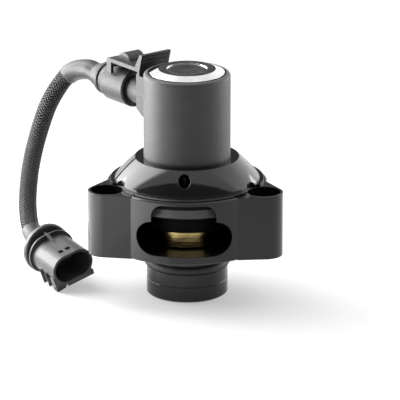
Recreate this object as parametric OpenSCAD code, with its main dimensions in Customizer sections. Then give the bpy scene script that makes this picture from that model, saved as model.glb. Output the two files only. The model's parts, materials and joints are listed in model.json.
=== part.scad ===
// Solenoid blow off valve that vents to air, with its short adaptor lead.
// Millimetres. The origin is the centre of the mounting face, under the ears and on the valve's axis.
// +Z runs up the axis through the solenoid, and the vent window faces -Y.

/* [Body] */
// Outer radius of the barrel
barrel_r = 29.8; // [29.4:0.1:31]
// Height of the barrel and of the ears above the mounting face
body_h = 24; // [23.5:0.1:26]
// Bore radius of the vent chamber
chamber_r = 24.5; // [24:0.1:24.8]
// Thickness of the chamber's floor
floor_t = 2; // [1.5:0.1:2.4]
// Chamfer on the barrel's rims
rim_chamfer = 0.6; // [0.3:0.1:0.8]

/* [Bolt ears] */
// Radius of the circle that the three screws stand on
bolt_circle_r = 32.2; // [32:0.1:33]
// Angle of each front screw from the front of the valve
front_bolt_angle = 64; // [60:0.5:66]
// Outer radius of an ear
ear_r = 7; // [6.8:0.1:7.4]
// Angle along the barrel that an ear's web spreads to each side
ear_web_angle = 22.6; // [20:0.1:25]
// Radius of a screw's clearance hole
bolt_hole_r = 3.3; // [3.2:0.05:3.5]
// Radius of the counterbore for a screw's head
counterbore_r = 6.2; // [5.8:0.05:6.3]
// Depth of that counterbore
counterbore_depth = 14; // [10:0.5:16]

/* [Vent window] */
// Whole width of the window
window_w = 35.2; // [32:0.2:36]
// Height of the window's wide part
window_h = 13; // [12:0.2:14]
// Wall left under the window, above the mounting face
window_sill = 3.1; // [2.8:0.1:3.6]
// Width of the window's upper part
window_top_w = 24; // [20:0.5:26]
// Wall left above the window's upper part
window_top_wall = 1.4; // [1.2:0.1:2]
// Corner radius of the window's upper part
window_top_corner = 4.5; // [3:0.25:5]

/* [Spigot] */
// Outer radius of the spigot
spigot_r = 15.1; // [14.6:0.1:15.6]
// Length of the spigot under the mounting face
spigot_len = 19.3; // [18:0.1:21]
// Radius of the passage through the spigot
spigot_bore_r = 12; // [11:0.1:12.4]
// Distance from the mounting face to the middle of the base O-ring
base_ring_drop = 7; // [6:0.25:8]
// Section radius of the base O-ring
base_ring_section = 1.6; // [1.4:0.1:1.8]
// How far the base O-ring stands out of the spigot
base_ring_proud = 0.8; // [0.5:0.1:1]
// Distance from the mounting face to the fine turned line round the spigot
spigot_line_drop = 13.6; // [12.5:0.1:15]

/* [Retainer] */
// Radius of the retainer's flange
flange_r = 28.5; // [28:0.1:29]
// Thickness of the flange above the body's rim
flange_t = 0.9; // [0.7:0.1:1.2]
// Radius at the foot of the cone
cone_base_r = 26.7; // [26.2:0.1:27.2]
// Radius at the top of the cone
cone_top_r = 19.35; // [18.5:0.05:20]
// Step from the flange up to the foot of the cone
cone_step = 0.5; // [0.3:0.1:0.8]
// Height of the cone
cone_h = 7.8; // [7.4:0.1:9]
// How far the cone's side bulges out of a straight line
cone_bulge = 0.25; // [0.15:0.05:0.35]
// Depth of the register inside the body's bore
register_h = 8; // [7.6:0.1:8.4]
// Section radius of the retainer's O-ring
retainer_ring_section = 0.5; // [0.4:0.05:0.55]
// Step from the sleeve out to the boss above it
boss_step = 0.85; // [0.7:0.05:1.1]
// Length of the boss under the register
boss_h = 3; // [2.6:0.1:3.4]
// Wall of the sleeve under the boss that guides the piston
sleeve_wall = 1.3; // [1:0.05:1.5]
// Length of that sleeve under the boss
sleeve_h = 4.4; // [4:0.1:4.8]
// Radius of the port drilled through the cone's front
port_r = 2.2; // [1.8:0.1:2.4]
// Distance from the cone's top face down to the port
port_drop = 3.2; // [3:0.1:3.6]
// Radius of the pilot chamber under the solenoid
pilot_r = 11; // [10.5:0.1:11.5]
// Wall between the pilot chamber and the piston's bore
pilot_wall = 3; // [2.5:0.1:3.4]
// Radius of the pilot orifice
orifice_r = 1.2; // [0.9:0.1:1.4]

/* [Piston] */
// Radius of the piston
piston_r = 16; // [15.7:0.05:16.2]
// Length of the piston
piston_len = 12; // [11.5:0.1:12.2]
// How far the piston lifts
piston_lift = 9; // [8:0.25:9.2]
// Wall of the piston's cup
piston_wall = 1.6; // [1.3:0.1:2]
// Thickness of the piston's head
piston_head = 2.4; // [2:0.1:3]
// Height of the piston ring
piston_ring_h = 1.6; // [1.2:0.1:1.8]
// Mean coil radius of the piston's spring
piston_spring_r = 11.2; // [10.8:0.1:11.6]
// Wire radius of the piston's spring
piston_wire_r = 0.6; // [0.5:0.05:0.7]

/* [Solenoid] */
// Radius of the solenoid's housing
solenoid_r = 16.1; // [15.9:0.1:16.6]
// Height of the housing
solenoid_h = 31.4; // [31:0.2:33]
// Wall of the housing
solenoid_wall = 1.9; // [1.7:0.1:2.1]
// Rounding of the housing's top edge
solenoid_edge = 1.3; // [0.8:0.1:1.5]
// Thickness of the gasket under the housing
gasket_t = 0.6; // [0.5:0.1:1]
// Radius of the flat on top of the steel disc
disc_flat_r = 10.6; // [10:0.1:11]
// How far the steel disc stands above the housing
disc_proud = 1.5; // [1.2:0.1:1.8]
// Radius of the shallow recess in the steel disc
disc_recess_r = 7.5; // [6.5:0.1:8]
// Radius of the plunger
plunger_r = 5; // [4.8:0.05:5.1]
// Lift of the plunger
plunger_lift = 2; // [1.5:0.1:2.2]
// Length of the plunger
plunger_len = 21.4; // [20:0.2:22]
// Mean coil radius of the plunger's spring
plunger_spring_r = 2.5; // [2.3:0.05:2.6]

/* [Socket and plug] */
// Direction of the socket, anticlockwise from +X
socket_angle = 130; // [129:0.5:131]
// Height of the socket's axis above the housing's foot
socket_rise = 18.2; // [18:0.1:18.5]
// Distance from the valve's axis to the end of the socket's block
block_reach = 24.3; // [24:0.1:24.6]
// Width of the socket's block
block_w = 10.4; // [9.8:0.1:11]
// Height of the socket's block
block_h = 15.2; // [14.6:0.2:15.4]
// Radius of the socket's tube
socket_r = 5.25; // [5:0.05:5.4]
// Length of the socket's tube inside the plug
socket_engage = 7.2; // [6.8:0.1:7.6]
// Distance from the valve's axis to the mouth of the plug
plug_start = 30.8; // [30.4:0.1:31]
// Outer radius of the plug
plug_r = 7.2; // [7.1:0.05:7.4]
// Length of the plug
plug_len = 16.2; // [16:0.1:16.4]
// Radius of the plug's flared rear cap
rear_cap_r = 6.2; // [5.8:0.1:6.6]
// Length of the rear cap behind its neck
rear_cap_len = 6.6; // [6.2:0.1:7]
// Width of the latch
latch_w = 13.4; // [12.6:0.1:14]
// Thickness of the latch's strap
latch_t = 1.5; // [1.3:0.1:1.7]
// Height of the latch's finger tab above its strap
latch_tab_h = 5.4; // [4.6:0.1:5.8]

/* [Lead] */
// Radius of the braided lead
lead_r = 3.4; // [3.2:0.05:3.5]
// Wall of the shrunk sleeves
sleeve_skin = 0.35; // [0.3:0.05:0.5]

/* [End connector] */
// Width of the connector's shroud
shroud_w = 17; // [16.6:0.1:17.4]
// Height of the shroud
shroud_h = 11.6; // [11.2:0.1:12]
// Length of the shroud from its rear cap to its mouth
shroud_len = 19; // [18:0.25:20]
// Wall of the shroud
shroud_wall = 0.9; // [0.8:0.05:1]
// Depth of the shroud's mouth
mouth_depth = 13; // [12:0.25:14]
// Radius of the connector's round rear cap
end_cap_r = 9.5; // [9.2:0.1:9.7]
// Thickness of that cap
end_cap_t = 2.4; // [2:0.1:2.8]

/* [Hidden] */
$fn = 96;

// Clearances
running = 0.06;
seated = 0.05;
loose = 0.3;
over = 1;

// Levels of the body and the retainer
web_turn = 4;
spigot_line = [0.15, 0.3];
bolt_angles = [-front_bolt_angle, front_bolt_angle, 180];
flange_top = body_h + flange_t;
cone_base_z = flange_top + cone_step;
cone_top_z = cone_base_z + cone_h;
register_z = body_h - register_h;
boss_z = register_z - boss_h;
sleeve_z = boss_z - sleeve_h;
guide_r = piston_r + running;
register_r = chamber_r - seated;
boss_r = guide_r + sleeve_wall + boss_step;
boss_chamfer = 0.4;
retainer_groove_h = 2 * retainer_ring_section + 2 * seated;
retainer_groove_z = body_h - retainer_groove_h;
scallop_gap = 0.4;
port_z = cone_top_z - port_drop;

// Levels of the piston and the pilot seat
piston_z = floor_t + seated;
piston_top = piston_z + piston_len;
ceiling_z = piston_top + piston_lift + loose;
pilot_z = ceiling_z + pilot_wall;
pilot_seat_h = 1;
pilot_seat_z = pilot_z + pilot_seat_h;
pilot_seat_wall = 1.4;
pilot_seat_r = orifice_r + pilot_seat_wall;
ring_groove_depth = 1.1;
ring_land = 1.6;
ring_z = piston_top - ring_land - piston_ring_h;
piston_spring_turns = 6;
wire_sides = 6;
turn_steps = 14;

// Levels of the solenoid
foot_z = cone_top_z + gasket_t;
top_z = foot_z + solenoid_h;
housing_floor = 2.4;
cavity_r = solenoid_r - solenoid_wall;
cavity_z = foot_z + housing_floor;
disc_r = cavity_r - loose;
disc_depth = 2.8;
disc_land = 0.2;
disc_seat_z = top_z - disc_depth;
disc_edge_z = top_z + disc_land;
disc_recess = 0.35;
yoke_gap = 0.15;
yoke_r = cavity_r - yoke_gap;
yoke_wall = 1.4;
yoke_floor = 2;
pole_r = 7;
pole_flange_t = 1.2;
pole_flange_r = pilot_r - 2 * seated;
bobbin_z = cavity_z + yoke_floor + seated;
bobbin_top = disc_seat_z - seated;
bobbin_flange = 1.2;
bobbin_bore_r = plunger_r + loose;
bobbin_wall = 1.2;
bobbin_r = bobbin_bore_r + bobbin_wall;
bobbin_flange_r = yoke_r - yoke_wall - loose;
winding_inset = 0.5;
seal_t = 1.6;
seal_lap = 0.4;
seal_r = pilot_seat_r + seal_lap;
seal_z = pilot_seat_z + seated;
seal_proud = 0.6;
plunger_z = seal_z + seal_proud;
plunger_top = plunger_z + plunger_len;
core_z = plunger_top + plunger_lift + loose;
core_pin_r = 2.5;
core_pin_h = 2;
plunger_wire_r = 0.35;
plunger_pocket = 8;
spring_room = 0.4;
plunger_pocket_r = plunger_spring_r + plunger_wire_r + spring_room;
plunger_spring_turns = 7;

// Socket and plug, measured out from the valve's axis
socket_z = foot_z + socket_rise;
socket_end = plug_start + socket_engage;
socket_wall = 1.1;
socket_bore_r = socket_r - socket_wall;
block_chamfer = [3.6, 2.4];
block_top = block_h / 2;
catch_h = 1.6;
catch_l = 1.9;
plug_rear = plug_start + plug_len;
plug_seal_t = 1.25;
plug_mouth_r = socket_r + plug_seal_t;
socket_gap = 0.2;
plug_bore_r = socket_r + socket_gap;
plug_floor = plug_start + socket_engage + loose;
plug_seal_drop = 0.6;
seal_pocket = 3.2;
plug_taper = 3;
neck_r = 5;
neck_l = 1;
cap_edge = 0.4;
rear_cap_z = plug_rear + neck_l;
lead_start = rear_cap_z + rear_cap_len;
terminal_gap = 4;
terminal = [0.8, 2];
terminal_root = plug_start - 4;
terminal_tip = socket_end - 1.5;
clasp_wall = 0.5;
clasp_start = plug_start + 2;
clasp_root = 4;

// Latch, in the plane of the socket's axis
hinge_inset = 7.7;
hinge_reach = plug_rear - hinge_inset;
latch_gap = 0.5;
latch_foot = plug_r + latch_gap;
latch_leg = 2.7;
catch_gap = 0.4;
strap_z = block_top + catch_h + catch_gap;
strap_top = strap_z + latch_t;
tab_reach = block_reach - catch_l - catch_gap;
tab_t = 1.5;
tab_lean = 1.9;
tab_root = 1.2;
tab_top = strap_top + latch_tab_h;
tab_rake = tab_lean / (tab_top - strap_z);
latch_edge = 0.8;
hook_z = block_top + loose;
hook_w = 5;
grip_r = 0.35;
grip_step = 1.5;
grip_count = 2;
pad_r = 4;
pad_w = 7;
pad_sink = 1.4;
pad_inset = 5.3;
pad_reach = hinge_reach - pad_inset;
cheek_w = 1.2;
cheek_drop = 2.4;

// Lead's route from the plug's rear cap to the end connector
plug_direction = [cos(socket_angle), sin(socket_angle), 0];
route_start = (lead_start + seated) * plug_direction + [0, 0, socket_z];
route = [
    route_start, [-38.8, 45.8, 52.7], [-43.8, 50.4, 51.2], [-47.6, 52.8, 48.4],
    [-50.9, 53.6, 44.2], [-55.1, 52.6, 36.8], [-58.2, 49.8, 28.2], [-60.7, 45.8, 18.8],
    [-62, 40.8, 9.8], [-62, 34.2, 1.2], [-60.2, 26.6, -4.8], [-55.9, 18.4, -7.8],
];
route_last = len(route) - 1;
route_steps = 3;
route_sides = 12;
upper_sleeve_span = [0, 3];
lower_sleeve_span = [route_last - 1, route_last];

// End connector: place of its rear cap's front face, and its turns
connector_at = [-52.9, 13.8, -8.3];
connector_heading = 33.5;
connector_pitch = 5;
connector_roll = 16.9;
connector_direction = [
    sin(connector_heading) * cos(connector_pitch),
    -cos(connector_heading) * cos(connector_pitch),
    -sin(connector_pitch),
];
end_boss_r = 4.8;
end_boss_h = norm(connector_at - route[route_last]) - end_cap_t - seated;
end_boss_flare = 1.4;
end_cap_edge = 0.5;
collar_grow = [2, 3.6];
collar_t = 0.7;
collar_z = 2.2;
rib_w = 1.2;
rib_len = 8;
lock_hole = 2;
lock_hole_gap = 3;
lock_hole_drop = 5;
rail_t = 1.1;
rail_start = 8.4;
rung_t = 0.5;
rung_step = 4;
fin_start = rail_start + 2 * rung_step;
fin_drop = 1.4;
fin_root = 0.6;
fin_w = 3.6;
pin_r = 0.7;
pin_short = 9.5;
pin_len = mouth_depth - pin_short;
pin_gap = 5;

function unit(v) = v / norm(v);

// A ring of points round centre c, square to direction t, starting on the side s
function ring(c, t, s, r, sides) =
    let (a = unit(s - (s * t) * t), b = cross(t, a))
    [for (k = [0 : sides - 1]) c + r * (cos(360 * k / sides) * a + sin(360 * k / sides) * b)];

// A smooth curve through the route's points, with u counted in points, square to both caps at its ends
function route_slope(i) =
    i == 0 ? norm(route[1] - route[0]) * plug_direction
    : i == route_last ? norm(route[i] - route[i - 1]) * connector_direction
    : (route[i + 1] - route[i - 1]) / 2;
function route_point(u) =
    let (i = min(floor(u), route_last - 1), f = u - i)
    (2 * f ^ 3 - 3 * f ^ 2 + 1) * route[i] + (f ^ 3 - 2 * f ^ 2 + f) * route_slope(i)
    + (3 * f ^ 2 - 2 * f ^ 3) * route[i + 1] + (f ^ 3 - f ^ 2) * route_slope(i + 1);
function route_direction(u) =
    let (i = min(floor(u), route_last - 1), f = u - i)
    unit(6 * (f - f ^ 2) * (route[i + 1] - route[i]) + (3 * f ^ 2 - 4 * f + 1) * route_slope(i)
        + (3 * f ^ 2 - 2 * f) * route_slope(i + 1));
function route_rings(span, r) =
    let (side = [cos(socket_angle + 90), sin(socket_angle + 90), 0])
    [for (k = [span[0] * route_steps : span[1] * route_steps])
        ring(route_point(k / route_steps), route_direction(k / route_steps), side, r, route_sides)];

// A helix of wire between two heights, with a ring at each step
function helix_rings(coil_r, wire_r, z0, z1, turns, sides) =
    let (steps = turn_steps * turns, rise = (z1 - z0 - 2 * wire_r) / (360 * turns))
    [for (k = [0 : steps])
        let (a = 360 * turns * k / steps, out = [cos(a), sin(a), 0])
        ring(coil_r * out + [0, 0, z0 + wire_r + rise * a],
            unit([-sin(a), cos(a), rise * 180 / PI / coil_r]), out, wire_r, sides)];

function reversed(list) = [for (k = [len(list) - 1 : -1 : 0]) list[k]];

// A skin over rings of points: a rod with two end faces, or a loop that closes on itself
module skin(rings, loop = false) {
    n = len(rings);
    s = len(rings[0]);
    last = loop ? n - 1 : n - 2;
    sides = [for (i = [0 : last], k = [0 : s - 1])
        let (j = (i + 1) % n, m = (k + 1) % s)
        each [[i * s + k, j * s + k, j * s + m], [i * s + k, j * s + m, i * s + m]]];
    ends = loop ? [] : [[for (k = [0 : s - 1]) k], [for (k = [s - 1 : -1 : 0]) (n - 1) * s + k]];
    polyhedron(points = [for (r = rings) each r], faces = concat(sides, ends), convexity = 8);
}

// A flat ring standing on z
module washer(outer, inner, z, h) {
    translate([0, 0, z]) difference() {
        cylinder(r = outer, h = h);
        translate([0, 0, -over]) cylinder(r = inner, h = h + 2 * over);
    }
}

// A flat shape with two round ends
module stadium(w, h) {
    hull() for (s = [-1, 1]) translate([s * (w - h) / 2, 0]) circle(d = h, $fn = 32);
}

// Puts its children at each screw's place
module at_bolts() {
    for (a = bolt_angles) rotate(a) translate([0, -bolt_circle_r]) children();
}

// Turns its children so that +X runs out along the socket's axis
module on_socket() {
    translate([0, 0, socket_z]) rotate(socket_angle) children();
}

// Turns its children so that +Z runs out along the socket's axis
module along_socket() {
    on_socket() rotate([0, 90, 0]) children();
}

// Carries a profile in the plane of the socket's axis across the width w
module across_socket(w) {
    on_socket() rotate([90, 0, 0]) translate([0, 0, -w / 2]) linear_extrude(w) children();
}

// Turns its children so that +Z runs out of the end connector's mouth
module on_connector() {
    translate(connector_at) rotate([90 + connector_pitch, 0, connector_heading])
        rotate(connector_roll) children();
}

// The ears' outline: a round end and a flat sided web back to the barrel
module ear_outline() {
    foot = barrel_r * [sin(ear_web_angle), -cos(ear_web_angle)];
    reach = foot - [0, -bolt_circle_r];
    turn = acos(ear_r / norm(reach)) - web_turn;
    aim = atan2(reach.y, reach.x) - turn;
    touch = [0, -bolt_circle_r] + ear_r * [cos(aim), sin(aim)];
    circle(r = barrel_r - rim_chamfer);
    for (a = bolt_angles) rotate(a) {
        translate([0, -bolt_circle_r]) circle(r = ear_r);
        polygon([[0, 0], foot, touch, [0, -bolt_circle_r], [-touch.x, touch.y], [-foot.x, foot.y]]);
    }
}

// The window's outline seen from the front, with x across and y up
module window_outline() {
    top = body_h - window_top_wall;
    translate([0, window_sill + window_h / 2]) stadium(window_w, window_h);
    hull() {
        for (s = [-1, 1])
            translate([s * (window_top_w / 2 - window_top_corner), top - window_top_corner])
                circle(r = window_top_corner, $fn = 32);
        translate([-window_top_w / 2, window_sill + window_h / 2]) square([window_top_w, 1]);
    }
}

module valve_body() {
    groove_r = spigot_r + base_ring_proud - 2 * base_ring_section;
    color("#17181a") difference() {
        union() {
            rotate_extrude() polygon([
                [0, 0], [barrel_r - rim_chamfer, 0], [barrel_r, rim_chamfer],
                [barrel_r, body_h - rim_chamfer], [barrel_r - rim_chamfer, body_h], [0, body_h],
            ]);
            linear_extrude(body_h) ear_outline();
            rotate_extrude() polygon([
                [0, -spigot_len], [spigot_r - rim_chamfer, -spigot_len],
                [spigot_r, rim_chamfer - spigot_len], [spigot_r, over], [0, over],
            ]);
        }
        translate([0, 0, floor_t]) cylinder(r = chamber_r, h = body_h);
        translate([0, 0, -spigot_len - over]) cylinder(r = spigot_bore_r, h = spigot_len + body_h);
        at_bolts() {
            translate([0, 0, -over]) cylinder(r = bolt_hole_r, h = body_h + 2 * over);
            translate([0, 0, body_h - counterbore_depth]) cylinder(r = counterbore_r, h = body_h);
        }
        rotate([90, 0, 0]) linear_extrude(barrel_r + over) window_outline();
        washer(spigot_r + over, groove_r, -base_ring_drop - base_ring_section - seated,
            2 * (base_ring_section + seated));
        washer(spigot_r + over, spigot_r - spigot_line.x, -spigot_line_drop, spigot_line.y);
    }
}

module base_o_ring() {
    centre_r = spigot_r + base_ring_proud - base_ring_section;
    color("#0d0d0e") translate([0, 0, -base_ring_drop]) rotate_extrude()
        translate([centre_r + seated, 0]) circle(r = base_ring_section);
}

// Half the section of the cone: its side is an arc that bulges out of the line from foot to head
module cone_section() {
    foot = [cone_base_r, cone_base_z];
    head = [cone_top_r, cone_top_z];
    root_z = flange_top - flange_t / 2;
    chord = head - foot;
    out = unit([chord.y, -chord.x]);
    arc_r = (norm(chord) ^ 2 / 4 + cone_bulge ^ 2) / (2 * cone_bulge);
    centre = (foot + head) / 2 - (arc_r - cone_bulge) * out;
    intersection() {
        translate(centre) circle(r = arc_r, $fn = 720);
        translate([pilot_r, root_z]) square([cone_base_r - pilot_r, cone_top_z - root_z]);
    }
}

module solenoid_retainer() {
    groove_r = register_r - 2 * retainer_ring_section;
    color("#1b1c1e") difference() {
        rotate_extrude() {
            polygon([
                [guide_r, sleeve_z], [guide_r + sleeve_wall, sleeve_z], [guide_r + sleeve_wall, boss_z],
                [boss_r - boss_chamfer, boss_z], [boss_r, boss_z + boss_chamfer], [boss_r, register_z],
                [register_r - boss_chamfer, register_z], [register_r, register_z + boss_chamfer],
                [register_r, retainer_groove_z], [groove_r, retainer_groove_z], [groove_r, body_h],
                [flange_r, body_h], [flange_r, flange_top], [cone_top_r - over, flange_top],
                [cone_top_r - over, cone_top_z], [pilot_r, cone_top_z], [pilot_r, pilot_z],
                [pilot_seat_r, pilot_z], [pilot_seat_r, pilot_seat_z],
                [orifice_r, pilot_seat_z], [orifice_r, ceiling_z], [guide_r, ceiling_z],
            ]);
            cone_section();
        }
        at_bolts() translate([0, 0, body_h - over])
            cylinder(r = counterbore_r + scallop_gap, h = cone_top_z - body_h + 2 * over);
        translate([0, -pilot_r + over, port_z]) rotate([90, 0, 0])
            cylinder(r = port_r, h = cone_base_r - pilot_r);
    }
}

module retainer_o_ring() {
    color("#0d0d0e") translate([0, 0, retainer_groove_z + retainer_groove_h / 2]) rotate_extrude()
        translate([register_r - retainer_ring_section, 0]) circle(r = retainer_ring_section - seated / 2);
}

module piston() {
    nose = 0.6;
    cup_r = piston_r - piston_wall - ring_groove_depth / 2;
    spring_pocket_r = piston_spring_r + piston_wire_r + loose;
    color("#b08d45") rotate_extrude() polygon([
        [0, piston_z], [piston_r - nose, piston_z], [piston_r, piston_z + nose], [piston_r, ring_z],
        [piston_r - ring_groove_depth, ring_z], [piston_r - ring_groove_depth, ring_z + piston_ring_h],
        [piston_r, ring_z + piston_ring_h], [piston_r, piston_top], [cup_r, piston_top],
        [cup_r, ring_z - piston_wall], [spring_pocket_r, ring_z - 2 * piston_wall],
        [spring_pocket_r, piston_z + piston_head], [0, piston_z + piston_head],
    ]);
}

module piston_ring() {
    color("#20201f") washer(guide_r - running / 2, piston_r - ring_groove_depth + seated,
        ring_z + seated, piston_ring_h - 2 * seated);
}

module piston_spring() {
    color("#9a9da1") skin(helix_rings(piston_spring_r, piston_wire_r, piston_z + piston_head + seated,
        ceiling_z - seated, piston_spring_turns, wire_sides));
}

module solenoid_gasket() {
    color("#101011") washer(solenoid_r, pilot_r, cone_top_z, gasket_t);
}

module solenoid_housing() {
    profile = [
        [0, block_top], [block_reach - catch_l, block_top], [block_reach - catch_l, block_top + catch_h],
        [block_reach - catch_l / 2, block_top + catch_h], [block_reach, block_top],
        [block_reach, -block_top + block_chamfer.y], [block_reach - block_chamfer.x, -block_top],
        [0, -block_top],
    ];
    color("#4b4c4f") difference() {
        union() {
            translate([0, 0, foot_z]) cylinder(r = solenoid_r, h = solenoid_h - solenoid_edge);
            translate([0, 0, top_z - solenoid_edge]) rotate_extrude() intersection() {
                union() {
                    square([solenoid_r - solenoid_edge, solenoid_edge]);
                    translate([solenoid_r - solenoid_edge, 0]) circle(r = solenoid_edge);
                }
                square([solenoid_r, solenoid_edge]);
            }
            across_socket(block_w) polygon(profile);
            along_socket() translate([0, 0, cavity_r]) cylinder(r = socket_r, h = socket_end - cavity_r);
        }
        translate([0, 0, cavity_z]) cylinder(r = cavity_r, h = solenoid_h);
        translate([0, 0, foot_z - over]) cylinder(r = pole_r + seated, h = housing_floor + 2 * over);
        along_socket() translate([0, 0, plug_start]) cylinder(r = socket_bore_r, h = socket_engage + over);
        blades(terminal_root, terminal_tip, seated);
    }
}

module top_disc() {
    color("#d5d7da") difference() {
        rotate_extrude() polygon([
            [0, disc_seat_z], [disc_r, disc_seat_z], [disc_r, disc_edge_z],
            [disc_flat_r, top_z + disc_proud], [0, top_z + disc_proud],
        ]);
        translate([0, 0, top_z + disc_proud - disc_recess]) cylinder(r = disc_recess_r, h = over);
        translate([0, 0, disc_seat_z - over])
            cylinder(r = core_pin_r + seated, h = core_pin_h + seated + over);
    }
}

module yoke() {
    color("#8d9094") rotate_extrude() polygon([
        [pole_r + seated, cavity_z], [yoke_r, cavity_z], [yoke_r, disc_seat_z],
        [yoke_r - yoke_wall, disc_seat_z], [yoke_r - yoke_wall, cavity_z + yoke_floor],
        [pole_r + seated, cavity_z + yoke_floor],
    ]);
}

module coil_bobbin() {
    color("#2b2c2e") rotate_extrude() polygon([
        [bobbin_bore_r, bobbin_z], [bobbin_flange_r, bobbin_z], [bobbin_flange_r, bobbin_z + bobbin_flange],
        [bobbin_r, bobbin_z + bobbin_flange], [bobbin_r, bobbin_top - bobbin_flange],
        [bobbin_flange_r, bobbin_top - bobbin_flange], [bobbin_flange_r, bobbin_top],
        [bobbin_bore_r, bobbin_top],
    ]);
}

module coil_winding() {
    z = bobbin_z + bobbin_flange + seated;
    color("#a5572b") washer(bobbin_flange_r - winding_inset, bobbin_r + seated, z,
        bobbin_top - bobbin_flange - seated - z);
}

module fixed_core() {
    color("#8d9094") {
        translate([0, 0, core_z]) cylinder(r = plunger_r, h = disc_seat_z - core_z);
        translate([0, 0, disc_seat_z - over]) cylinder(r = core_pin_r, h = core_pin_h + over);
    }
}

module lower_pole() {
    bore = plunger_r + running;
    color("#8d9094") rotate_extrude() polygon([
        [bore, foot_z - gasket_t - pole_flange_t], [pole_flange_r, foot_z - gasket_t - pole_flange_t],
        [pole_flange_r, foot_z - seated], [pole_r, foot_z - seated], [pole_r, cavity_z + yoke_floor],
        [bore, cavity_z + yoke_floor],
    ]);
}

module plunger() {
    color("#9da0a4") difference() {
        translate([0, 0, plunger_z]) cylinder(r = plunger_r, h = plunger_len);
        translate([0, 0, plunger_z - over])
            cylinder(r = seal_r + seated, h = seal_t - seal_proud + seated + over);
        translate([0, 0, plunger_top - plunger_pocket])
            cylinder(r = plunger_pocket_r, h = plunger_pocket + over);
    }
}

module plunger_seal() {
    color("#111112") translate([0, 0, seal_z]) cylinder(r = seal_r, h = seal_t);
}

module plunger_spring() {
    foot = plunger_top - plunger_pocket + seated;
    color("#b9bcc0") skin(helix_rings(plunger_spring_r, plunger_wire_r, foot, core_z - seated,
        plunger_spring_turns, wire_sides));
}

// The two blades in the socket, grown by a clearance on every side
module blades(start, end, grow) {
    on_socket() for (s = [-1, 1])
        translate([start - grow, s * terminal_gap / 2 - terminal.x / 2 - grow, -terminal.y / 2 - grow])
            cube([end - start + 2 * grow, terminal.x + 2 * grow, terminal.y + 2 * grow]);
}

module socket_terminals() {
    color("#c9a64a") blades(terminal_root, terminal_tip, 0);
}

// The plug's clasps: sleeves that take the blades and stand in the plug's floor
module plug_terminals() {
    color("#c9a64a") difference() {
        blades(clasp_start, plug_floor + clasp_root, clasp_wall);
        blades(clasp_start - over, terminal_tip + loose, seated);
    }
}

module plug_housing() {
    color("#3d3e41") difference() {
        along_socket() difference() {
            rotate_extrude() polygon([
                [0, plug_start], [plug_r - rim_chamfer, plug_start], [plug_r, plug_start + rim_chamfer],
                [plug_r, plug_rear - plug_taper], [rear_cap_r, plug_rear - cap_edge],
                [rear_cap_r, plug_rear], [neck_r, plug_rear], [neck_r, plug_rear + neck_l],
                [0, plug_rear + neck_l],
            ]);
            translate([0, 0, plug_start - over]) cylinder(r = plug_mouth_r, h = seal_pocket + over);
            translate([0, 0, plug_start - over])
                cylinder(r = plug_bore_r, h = plug_floor - plug_start + over);
        }
        blades(plug_floor - over, plug_floor + clasp_root, clasp_wall + seated);
    }
}

module plug_seal() {
    color("#0d0d0e") along_socket()
        washer(plug_mouth_r - seated, socket_r + seated, plug_start + plug_seal_drop,
            seal_pocket - plug_seal_drop - seated);
}

module plug_latch() {
    leg = [hinge_reach - latch_leg / 2, hinge_reach + latch_leg / 2];
    color("#2a2b2d") {
        across_socket(latch_w) polygon([
            [leg[0], latch_foot], [leg[1], latch_foot], [leg[1], strap_top - latch_edge],
            [leg[1] - latch_edge, strap_top], [tab_reach + tab_root, strap_top],
            [tab_reach - tab_lean, tab_top], [tab_reach - tab_lean - tab_t, tab_top],
            [tab_reach - tab_t, strap_z], [leg[0], strap_z],
        ]);
        across_socket(hook_w) translate([tab_reach - tab_t, hook_z])
            square([tab_t, strap_z - hook_z + latch_t / 2]);
        across_socket(latch_w - 2 * latch_edge) for (k = [1 : grip_count])
            translate([tab_reach - tab_t - tab_rake * (tab_top - k * grip_step - strap_z),
                tab_top - k * grip_step]) circle(r = grip_r, $fn = 24);
        across_socket(pad_w) intersection() {
            translate([pad_reach, strap_top - pad_sink]) circle(r = pad_r);
            translate([pad_reach - pad_r, strap_z + loose]) square(2 * pad_r);
        }
        for (s = [-1, 1]) on_socket()
            translate([leg[0], s * (latch_w - cheek_w) / 2 - cheek_w / 2, latch_foot - cheek_drop])
                cube([latch_leg, cheek_w, cheek_drop + over]);
    }
}

module plug_rear_cap() {
    band = 1.6;
    shoulder = [1, 2.8];
    lip = 0.6;
    color("#5a5b5e") along_socket() rotate_extrude() polygon([
        [0, rear_cap_z], [rear_cap_r - cap_edge, rear_cap_z], [rear_cap_r, rear_cap_z + cap_edge],
        [rear_cap_r, rear_cap_z + band], [rear_cap_r - shoulder.x, rear_cap_z + shoulder.y],
        [lead_r + sleeve_skin + lip, lead_start], [0, lead_start],
    ]);
}

// A shrunk sleeve over one stretch of the lead
module shrunk_sleeve(span) {
    inner = route_rings(span, lead_r + seated);
    outer = route_rings(span, lead_r + seated + sleeve_skin);
    skin(concat(outer, reversed(inner)), loop = true);
}

module upper_sleeve() {
    color("#6a6b6e") shrunk_sleeve(upper_sleeve_span);
}

module lead_cord() {
    color("#3a3b3d") skin(route_rings([0, route_last], lead_r));
}

module lower_sleeve() {
    color("#6a6b6e") shrunk_sleeve(lower_sleeve_span);
}

module connector_rear_cap() {
    color("#6a6b6e") on_connector() rotate_extrude() polygon([
        [0, -end_cap_t - end_boss_h], [end_boss_r, -end_cap_t - end_boss_h],
        [end_boss_r + end_boss_flare, -end_cap_t], [end_cap_r - end_cap_edge, -end_cap_t],
        [end_cap_r, end_cap_edge - end_cap_t], [end_cap_r, -end_cap_edge], [end_cap_r - end_cap_edge, 0],
        [0, 0],
    ]);
}

// The corner fin under the shroud, seen from its mouth
module fin_outline() {
    bottom = -shroud_h / 2;
    side = -shroud_w / 2;
    polygon([
        [side - fin_root, -rib_w], [side, bottom - fin_drop], [side + fin_w, bottom - rail_t],
        [side + fin_w + rail_t, bottom + fin_root], [side + fin_root, -rib_w],
    ]);
}

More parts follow.
